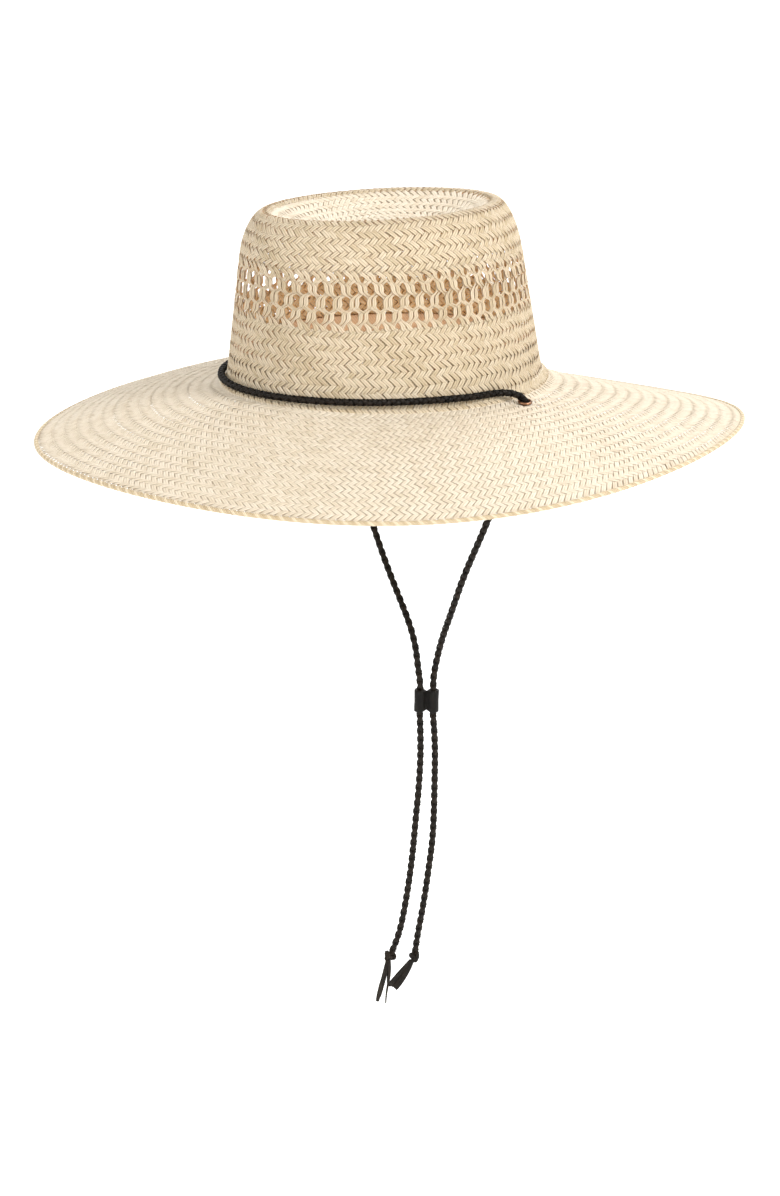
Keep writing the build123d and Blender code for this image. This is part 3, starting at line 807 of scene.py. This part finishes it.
# ---------------------------------------------------------------- sweatband and its stitches
# Closed section of the tape: height, inset from the crown's outer wall before BAND_SHIFT.
BAND_PROFILE = np.array([
    (-1.5, 3.45), (-1.1, 3.2), (0.5, 3.18), (2.2, 3.25), (3.0, 3.18), (12, 3.15),
    (20.4, 3.12), (21.2, 3.12), (21.5, 3.26), (21.3, 3.46), (20.4, 3.62), (19.4, 3.66),
    (17.4, 3.86), (12, 4.05), (4.4, 4.03), (3.7, 4.16), (3.2, 4.33), (2.4, 4.22),
    (1.1, 4.12), (0.0, 4.3), (-1.0, 4.3), (-1.4, 4.0)])
BAND_SHIFT = 0.95
BAND_STEPS = 360
STITCHES = 64
STITCH_Z, STITCH_INSET = 1.1, 3.71
STITCH_HALF_LENGTH = 2.3


def sweatband():
    angle = ring_angles(BAND_STEPS)
    heights, insets = BAND_PROFILE.T
    sides = len(BAND_PROFILE)
    ripple = 0.05 * np.sin(angle * 37)[:, None] * (heights > 3) * (insets > 4)
    verts = wall_point(angle[:, None], heights, insets - BAND_SHIFT + ripple)
    index = np.arange(BAND_STEPS * sides).reshape(BAND_STEPS, sides)
    uv = grid_uv(lambda u, v: np.stack(np.broadcast_arrays(u, v), -1), BAND_STEPS, sides)
    # corners are reversed so that the faces look out of the tape
    return build_mesh("sweatband_tape", verts.reshape(-1, 3), grid_quads(index)[:, ::-1],
                      uv=uv[:, ::-1], tint=np.full(BAND_STEPS * sides, 0.5),
                      along=np.repeat(angle * 90, sides), across=np.tile(heights, BAND_STEPS))


def stitching():
    half_a = BASE_A - TAPER_A * STITCH_Z - STITCH_INSET
    half_b = BASE_B - TAPER_B * STITCH_Z - STITCH_INSET
    middle = TAU * (np.arange(STITCHES) + 0.5) / STITCHES
    along = np.linspace(-1, 1, 9)
    per_radian = np.hypot(half_b * np.sin(middle), half_a * np.cos(middle))
    angle = middle[:, None] + along * STITCH_HALF_LENGTH / per_radian[:, None]
    inward = unit(np.stack([-np.cos(angle) / half_b, -np.sin(angle) / half_a, 0 * angle], -1))
    dip = 0.55 * np.maximum(np.abs(along) - 0.6, 0) ** 1.4 * 3      # ends sink into the tape
    path = (wall_point(angle, STITCH_Z, STITCH_INSET, lift=0.12 * along)
            - inward * (dip[:, None] + 0.42))
    tangent = unit(np.gradient(path, axis=1))
    group = dict(path=path, across=unit(np.cross(inward, tangent)), out=inward,
                 half_width=np.full(angle.shape, 0.3), half_thick=np.full(angle.shape, 0.27),
                 tint=rng.uniform(0, 1, STITCHES))
    return ribbons("sweatband_stitching", [group], section=ROUND)


finish_piece(sweatband(), BAND, "sweatband_fabric", "sweatband")
finish_piece(stitching(), THREAD, "thread", "sweatband_stitches")

# ---------------------------------------------------------------- cords
CROWN_CORD_RADIUS, CHIN_CORD_RADIUS, NECK_RADIUS = 2.1, 2.15, 1.9
CROWN_CORD_GAP = 0.95       # between the crown's wall line and the cord
FRONT_CORD_Z = 4.3
# angle in degrees and height of the crown cord, from near an eyelet towards the front
CROWN_CORD_STATIONS = ((10, 2.6), (2, 3.1), (-8, 3.5), (-20, 3.9), (-33, 4.1), (-46, 4.25),
                       (-60, 4.3), (-75, 4.3))

# x, y and z of each chin cord, from its eyelet down into the slider
CHIN_RUNS = {
    "left": [(92.0, 33.9, -7.2), (91.2, 33.9, -16), (86.2, 34.1, -30), (76.2, 34.5, -50),
             (66.6, 34.9, -70), (56.5, 35.3, -90), (45.5, 35.7, -110), (35.9, 36.1, -128),
             (27.6, 36.9, -145), (19.6, 38.4, -160), (12.0, 40.0, -174), (6.5, 41.0, -187),
             (3.6, 41.0, -198), (2.6, 40.8, -206), (2.55, 40.84, -212), (2.55, 40.84, -219.3)],
    "right": [(-92.0, 33.9, -7.2), (-91.4, 33.9, -16), (-88.9, 34.0, -30), (-83.5, 34.2, -50),
              (-76.9, 34.5, -70), (-68.9, 34.8, -90), (-59.7, 35.2, -110),
              (-49.2, 35.5, -128), (-37.0, 35.4, -145), (-24.1, 34.6, -160),
              (-12.7, 33.6, -174), (-6.5, 33.2, -187), (-4.0, 33.3, -198),
              (-2.8, 33.9, -206), (-2.55, 34.16, -212), (-2.55, 34.16, -219.3)]}
# and of each tail, from the slider down to its knot
TAILS = {
    "left": [(2.55, 40.84, -219.5), (2.6, 41.0, -226.8), (3.2, 41.7, -238), (3.8, 42.4, -252),
             (3.9, 42.7, -268), (4.0, 42.7, -284), (3.9, 42.7, -300), (3.6, 42.2, -317),
             (2.6, 40.9, -334), (1.5, 39.4, -351), (0.1, 37.6, -368.5), (-1.5, 35.6, -385.8),
             (-2.4, 34.5, -398.0)],
    "right": [(-2.55, 34.16, -219.5), (-2.5, 34.2, -226.9), (-2.2, 34.6, -238),
              (-1.9, 35.0, -252), (-2.0, 34.9, -268), (-2.4, 34.3, -284), (-3.1, 33.4, -300),
              (-3.8, 32.6, -317), (-4.6, 31.5, -334), (-5.7, 30.0, -351),
              (-7.2, 28.1, -368.5), (-9.2, 25.5, -385.0), (-11.8, 22.2, -398.0)]}


def brim_height(x, y):
    """Height of the brim's upper face over a place in plan, by Newton's method."""
    angle, share, step = math.atan2(y / BASE_A, x / BASE_B), 0.1, 1e-5
    for _ in range(30):
        here = brim_mid(angle, share)
        by_angle = (brim_mid(angle + step, share) - here) / step
        by_share = (brim_mid(angle, share + step) - here) / step
        slopes = np.array([[by_angle[0], by_share[0]], [by_angle[1], by_share[1]]])
        change = np.linalg.solve(slopes, np.array([x - here[0], y - here[1]]))
        angle, share = angle + change[0], share + change[1]
    return float(brim_mid(angle, share)[2]) + HALF_WALL


def eyelet_place(sign):
    """Centre of an eyelet on the brim and the brim's normal there."""
    x, y = sign * EYE_X, EYE_Y
    slope_x = (brim_height(x + 2, y) - brim_height(x - 2, y)) / 4
    slope_y = (brim_height(x, y + 2) - brim_height(x, y - 2)) / 4
    return np.array([x, y, brim_height(x, y)]), unit(np.array([-slope_x, -slope_y, 1.0]))


def crown_cord_path():
    """From under the left eyelet, round the crown's front, to under the right one."""
    inset = -(CROWN_CORD_RADIUS + CROWN_CORD_GAP)
    halves = []
    for _, sign in SIDES:
        centre, normal = eyelet_place(sign)
        half = [centre - normal, centre + normal,
                centre + normal * 3.0 + np.array([-sign * 0.9, -1.6, 0]),
                np.array([sign * 89.2, 27.6, 1.6])]
        for degrees, z in CROWN_CORD_STATIONS:
            half.append(wall_point(math.radians(degrees), z, inset) * np.array([sign, 1, 1]))
        halves.append(half)
    front = wall_point(-math.pi / 2, FRONT_CORD_Z, inset)
    return spline(halves[0] + [front] + halves[1][::-1], 0.55)


def braid(name, path, radius, turn, core_path, core_share, nodes, body, closed=False, taper=0):
    """Four plaited strands over a round core, joined as one object."""
    skin = ribbons(name, twisted(path, radius, turn, 4, closed, taper=taper), closed=closed)
    tube = one_ribbon(core_path, *carried_normals(core_path, closed),
                      radius * core_share, radius * core_share, 0.3)
    core = ribbons(name + "_core", [tube], section=ROUND, closed=closed)
    bpy.ops.object.select_all(action="DESELECT")
    skin.select_set(True)
    core.select_set(True)
    bpy.context.view_layer.objects.active = skin
    bpy.ops.object.join()
    finish_piece(skin, CORD_LEATHER, "braided_leather", *nodes, body=body)
    return skin


def cord(name, path, radius, nodes, body, taper=0):
    return braid(name, path, radius, radius * 5.2, resample(path, 2.5), 0.62, nodes, body,
                 taper=taper)


cord("crown_cord_braid", crown_cord_path(), CROWN_CORD_RADIUS, ["crown_cord"], "crown_cord")
for side, sign in SIDES:
    piece = cord(f"chin_cord_{side}_braid", spline(CHIN_RUNS[side], 0.5), CHIN_CORD_RADIUS,
                 [f"chin_cord_{side}"], None)
    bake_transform(piece)
    piece = cord(f"tail_cord_{side}_braid", spline(TAILS[side], 0.5), CHIN_CORD_RADIUS,
                 [f"tail_cord_{side}"], None)
    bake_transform(piece)
    # the short neck where the cord turns down through its eyelet
    centre, normal = eyelet_place(sign)
    top = np.array(CHIN_RUNS[side][0])
    neck = spline([centre + normal * 0.2, centre - normal * 1.6,
                   (centre - normal * 2.2) * 0.5 + top * 0.5, top + np.array([0, 0, -1.9])], 0.5)
    cord(f"cord_neck_{side}", neck, NECK_RADIUS, [], "hat", taper=0.8)

# ---------------------------------------------------------------- knots and split ends
# The knots and the slider face one way in plan: ACROSS is level, AWAY points to their backs.
FACING = math.radians(52.63)
ACROSS = np.array([math.cos(FACING), math.sin(FACING), 0.0])
AWAY = np.array([-ACROSS[1], ACROSS[0], 0.0])
KNOT_RADIUS = 1.9
KNOT_DEPTH = 1.5
KNOT_CENTRES = {"left": (-2.5, 34.3, -400.4), "right": (-12.6, 21.1, -400.4)}
# roll in radians, scale across and scale up of each knot
KNOT_SHAPES = {"left": (0.35, 0.66, 0.74), "right": (-0.35, 0.88, 0.66)}


def knot(side):
    """A trefoil loop of cord."""
    roll, wide, high = KNOT_SHAPES[side]
    angle = ring_angles(400)
    x = np.sin(angle) + 2 * np.sin(2 * angle)
    y = np.cos(angle) - 2 * np.cos(2 * angle)
    depth = -np.sin(3 * angle)
    cosine, sine = math.cos(roll), math.sin(roll)
    loop = (np.array(KNOT_CENTRES[side]) + wide * (x * cosine - y * sine)[:, None] * ACROSS
            + high * (x * sine + y * cosine)[:, None] * UP + KNOT_DEPTH * depth[:, None] * AWAY)
    loop = resample(loop, 0.4, closed=True)
    braid(f"knot_{side}_overhand", loop, KNOT_RADIUS, 8.4, loop, 0.66, [f"knot_{side}"],
          "chin_cord", closed=True)


for side, _ in SIDES:
    knot(side)

# each strip: (across, up) from the knot's middle, how far away, half widths at its two ends
STRIPS = {
    "right": [
        ([(-1.9, -3.2), (-4.0, -14.8), (-6.0, -23.3), (-7.7, -33.4)], -0.5, 1.15, 1.3),
        ([(-0.9, -3.4), (-2.7, -14.2), (-4.6, -23.0), (-6.6, -31.0)], 0.7, 1.1, 1.2),
        ([(0.0, -3.4), (0.0, -13.4), (-0.9, -21.6), (-1.7, -27.8), (-2.1, -34.8)],
         -0.3, 1.25, 0.5),
        ([(-0.5, -3.2), (-0.6, -12.0), (-1.0, -20.4)], 0.6, 1.1, 0.9)],
    "left": [
        ([(-2.6, -2.6), (-9.2, -11.3), (-13.8, -17.6), (-16.9, -22.0)], -0.2, 1.2, 1.45),
        ([(-1.0, -3.0), (-5.2, -12.7), (-9.3, -19.7), (-12.3, -24.0)], -0.8, 1.2, 1.45),
        ([(-2.0, -3.0), (-8.2, -12.2), (-12.6, -18.8), (-15.0, -22.8)], 0.8, 1.1, 1.2),
        ([(-1.6, -3.0), (-6.0, -12.2), (-10.4, -19.4), (-13.6, -23.2)], 0.3, 1.1, 1.2)]}
STRIP_ROLLS = (-0.30, 0.35, -0.45, 0.4)     # middle roll of each strip, in radians


def strip(centre, points, depth, top_width, end_width, middle_roll):
    last = len(points) - 1
    path = spline([np.array(centre) + ACROSS * across + UP * up
                   + AWAY * depth * (0.3 + 0.7 * i / last)
                   for i, (across, up) in enumerate(points)], 0.9)
    share = np.linspace(0, 1, len(path))
    tangent = tangents(path, closed=False)
    roll = (middle_roll + 0.7 * (share - 0.5))[:, None]
    level = unit(ACROSS - tangent * (tangent @ ACROSS)[:, None])
    width_way = unit(level * np.cos(roll) + np.cross(tangent, level) * np.sin(roll))
    half_width = ((top_width + (end_width - top_width) * smooth(share))
                  * (0.8 + 0.2 * smooth(share / 0.2))
                  * (1 - 0.25 * smooth((share - 0.94) / 0.06)))
    return one_ribbon(path, width_way, np.cross(tangent, width_way), half_width, 0.45,
                      rng.uniform())


for side, strips in STRIPS.items():
    groups = [strip(KNOT_CENTRES[side], *values, roll)
              for values, roll in zip(strips, STRIP_ROLLS)]
    finish_piece(ribbons(f"split_ends_{side}", groups, section=BAR), THONG_LEATHER,
                 "leather_thong", f"cord_ends_{side}", body="chin_cord")

# ---------------------------------------------------------------- slider: two joined barrels
SLIDER_CENTRE = np.array([0, 37.5, -219.4])
SLIDER_HALF = 14.8 / 2              # half its height
BARREL_X, BARREL_RADIUS = 4.3, 3.75
BORE_RADIUS, BORE_MOUTH, BORE_LEAD = 2.3, 2.65, 0.3
# height and fullness of the rings of the outside
SLIDER_LEVELS = [(-SLIDER_HALF, 0.86), (-SLIDER_HALF + 0.12, 0.95), (-SLIDER_HALF + 0.45, 1.0),
                 (-SLIDER_HALF * 0.55, 0.985), (0, 0.955), (SLIDER_HALF * 0.55, 0.985),
                 (SLIDER_HALF - 0.45, 1.0), (SLIDER_HALF - 0.12, 0.95), (SLIDER_HALF, 0.86)]


def slider_outline():
    """(across, away) points of two rounds smoothly joined at a pinched waist."""
    points = []
    for angle in ring_angles(144):
        across, away = math.cos(angle), math.sin(angle)
        low, high = 0.5, 9.0
        for _ in range(40):         # halve down to the outline along this ray
            radius = (low + high) / 2
            x, y = radius * across, radius * away
            fill = sum(math.exp(-((abs(x) + shift) ** 2 + y * y - BARREL_RADIUS ** 2) / 3.2)
                       for shift in (-BARREL_X, BARREL_X))
            if fill > 1:
                low = radius
            else:
                high = radius
        x = radius * across
        if away < 0:                # a thicker lap over the near face of the +ACROSS barrel
            radius += 0.55 * smooth((x - 0.7) / 0.5) * (1 - smooth((x - 4.2) / 0.35))
        points.append((radius * across, radius * away))
    return points


def slider():
    mesh = bpy.data.meshes.new("cord_slider_leather")
    build = bmesh.new()

    def vertex(across, away, z):
        place = SLIDER_CENTRE + ACROSS * across + AWAY * away + np.array([0, 0, z])
        return build.verts.new(place * MM)

    outline = slider_outline()
    rings = []
    for z, fullness in SLIDER_LEVELS:
        shrink = (1 - fullness) * 3.0
        ring = []
        for x, y in outline:
            size = math.hypot(x, y)
            # the top and bottom edges dip towards the waist
            dip = 0.0
            if abs(z) > SLIDER_HALF * 0.5:
                dip = 0.9 * math.exp(-(x / 2.4) ** 2) * (z / SLIDER_HALF)
            ring.append(vertex(x - x / size * shrink, y - y / size * shrink, z - dip))
        rings.append(ring)
    count = len(outline)
    for low, high in zip(rings, rings[1:]):
        for i in range(count):
            j = (i + 1) % count
            build.faces.new((low[i], low[j], high[j], high[i]))

    bores = []
    bore_steps = 32
    for sign in (1, -1):
        bore = [[vertex(sign * BARREL_X + radius * math.cos(angle), radius * math.sin(angle), z)
                 for angle in ring_angles(bore_steps)]
                for z, radius in ((-SLIDER_HALF, BORE_MOUTH),
                                  (-SLIDER_HALF + BORE_LEAD, BORE_RADIUS),
                                  (SLIDER_HALF - BORE_LEAD, BORE_RADIUS),
                                  (SLIDER_HALF, BORE_MOUTH))]
        for low, high in zip(bore, bore[1:]):
            for i in range(bore_steps):
                j = (i + 1) % bore_steps
                build.faces.new((low[i], high[i], high[j], low[j]))
        bores.append(bore)

    for end in (0, -1):             # end faces, with the bores left open
        edges = []
        for loop in (rings[end], bores[0][end], bores[1][end]):
            for i in range(len(loop)):
                pair = (loop[i], loop[(i + 1) % len(loop)])
                edges.append(build.edges.get(pair) or build.edges.new(pair))
        bmesh.ops.triangle_fill(build, use_beauty=True, edges=edges)
    bmesh.ops.recalc_face_normals(build, faces=build.faces)
    build.to_mesh(mesh)
    build.free()
    for face in mesh.polygons:
        face.use_smooth = abs(face.normal.z) < 0.7
    return link_new("cord_slider_leather", mesh)


finish_piece(slider(), SLIDER_LEATHER, "slider_leather", "cord_slider", body="slider")

# ---------------------------------------------------------------- eyelets
# Closed section of the rolled flange and barrel: radius, height.
EYELET_PROFILE = np.array([
    (2.68, -2.7), (2.68, -0.4), (2.80, 0.35), (3.05, 0.95), (3.4, 1.22), (3.85, 1.08),
    (4.2, 0.62), (4.3, 0.12), (4.1, -0.1), (3.3, -0.12), (2.98, -0.4), (2.92, -1.2),
    (2.92, -2.7)])
EYELET_STEPS = 56


def eyelet(side, sign):
    centre, normal = eyelet_place(sign)
    axis = unit(normal + 0.12 * np.array([0.79 * sign, -0.61, 0.0]))
    first = unit(np.cross(axis, np.array([0, 1.0, 0.1])))
    second = np.cross(axis, first)
    angle = ring_angles(EYELET_STEPS)[:, None]
    spokes = first * np.cos(angle) + second * np.sin(angle)
    radii, heights = EYELET_PROFILE[:, :1], EYELET_PROFILE[:, 1:]
    verts = centre + normal * 0.35 + spokes[:, None] * radii + axis * heights
    # rolled by hand: the flange is not perfectly even
    verts = verts + axis * (0.07 * np.sin(3 * angle + sign)[:, None]) * (radii > 3.2)
    sides = len(EYELET_PROFILE)
    index = np.arange(EYELET_STEPS * sides).reshape(EYELET_STEPS, sides)
    piece = build_mesh(f"eyelet_{side}_rolled", verts.reshape(-1, 3), grid_quads(index))
    build = bmesh.new()
    build.from_mesh(piece.data)
    bmesh.ops.recalc_face_normals(build, faces=build.faces)
    build.to_mesh(piece.data)
    build.free()
    return piece


for side, sign in SIDES:
    finish_piece(eyelet(side, sign), METAL, "eyelet_metal", f"eyelet_{side}")
# the washers keep their CAD shape
for side, _ in SIDES:
    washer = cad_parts[f"eyelet_washer_{side}"]
    if not washer.material_slots:       # a CAD piece may come without a material
        washer.data.materials.append(METAL)
    for slot in washer.material_slots:
        slot.material = METAL

# ---------------------------------------------------------------- studio, in metres
FLOOR_Z = -0.452
# radius and height above the floor of the backdrop's section
BACKDROP = [(0.0, 0), (3.0, 0), (4.2, 0.02), (5.0, 0.25), (5.6, 0.8), (5.9, 1.8), (6.0, 6.0)]
BACKDROP_STEPS = 96


def studio_floor():
    """Floor that curves up into a backdrop all round."""
    verts = [(radius * math.cos(TAU * i / BACKDROP_STEPS),
              radius * math.sin(TAU * i / BACKDROP_STEPS), FLOOR_Z + rise)
             for i in range(BACKDROP_STEPS) for radius, rise in BACKDROP]
    points = len(BACKDROP)
    faces = []
    for i in range(BACKDROP_STEPS):
        for j in range(points - 1):
            here, beside = i * points + j, ((i + 1) % BACKDROP_STEPS) * points + j
            if j == 0:              # triangles at the centre
                faces.append((here, beside + 1, here + 1))
            else:
                faces.append((here, beside, beside + 1, here + 1))
    mesh = bpy.data.meshes.new("studio_floor")
    mesh.from_pydata(verts, [], faces)
    floor = link_new("studio_floor", mesh)
    for face in mesh.polygons:
        face.use_smooth = True
    shader = Shader("studio_white")
    mesh.materials.append(shader.finish(shader.add("BsdfPrincipled", {
        "Roughness": 0.9, "Base Color": (0.86, 0.86, 0.86, 1),
        "Emission Color": (1, 1, 1, 1), "Emission Strength": 0.52})))


studio_floor()
scene = bpy.context.scene
world = bpy.data.worlds.new("studio_world")
scene.world = world
world.use_nodes = True
background = world.node_tree.nodes["Background"]
background.inputs["Color"].default_value = (1, 1, 1, 1)
background.inputs["Strength"].default_value = 0.40

CAMERA_RIGHT = Vector((0.60689, 0.79460, 0.01719))
CAMERA_UP = Vector((-0.24695, 0.16796, 0.95436))
CAMERA_FORWARD = Vector((-0.75545, 0.58344, -0.29816))
CAMERA_PLACE = Vector((1.26349, -0.96960, 0.35397))


def area_light(name, right, forward, up, distance, size, power):
    """Disk aimed at the origin from camera-right, camera-forward and world-up parts."""
    light = bpy.data.lights.new(name, "AREA")
    light.shape = "DISK"
    light.size = size
    light.energy = power
    lamp = link_new(name, light)
    direction = CAMERA_RIGHT * right + CAMERA_FORWARD * forward + Vector((0, 0, up))
    direction.normalize()
    lamp.location = direction * distance
    lamp.rotation_mode = "QUATERNION"
    lamp.rotation_quaternion = direction.to_track_quat("Z", "Y")


area_light("key_light", right=0.75, forward=-0.55, up=0.62, distance=2.4, size=1.0, power=43)
area_light("fill_light", right=-0.9, forward=-0.9, up=0.35, distance=2.6, size=1.6, power=12)
area_light("rim_light", right=0.2, forward=1.0, up=1.1, distance=2.6, size=1.4, power=17)

lens = bpy.data.cameras.new("camera")
lens.sensor_fit = "HORIZONTAL"
lens.sensor_width = 36.0
lens.lens = 122.32523
lens.clip_start = 0.05
lens.clip_end = 50
camera = link_new("camera", lens)
columns = (CAMERA_RIGHT, CAMERA_UP, -CAMERA_FORWARD, CAMERA_PLACE)
camera.matrix_world = Matrix([[column[i] for column in columns] for i in range(3)]
                             + [[0, 0, 0, 1]])
scene.camera = camera
scene.view_settings.view_transform = "Standard"
scene.view_settings.look = "None"

bpy.context.view_layer.update()
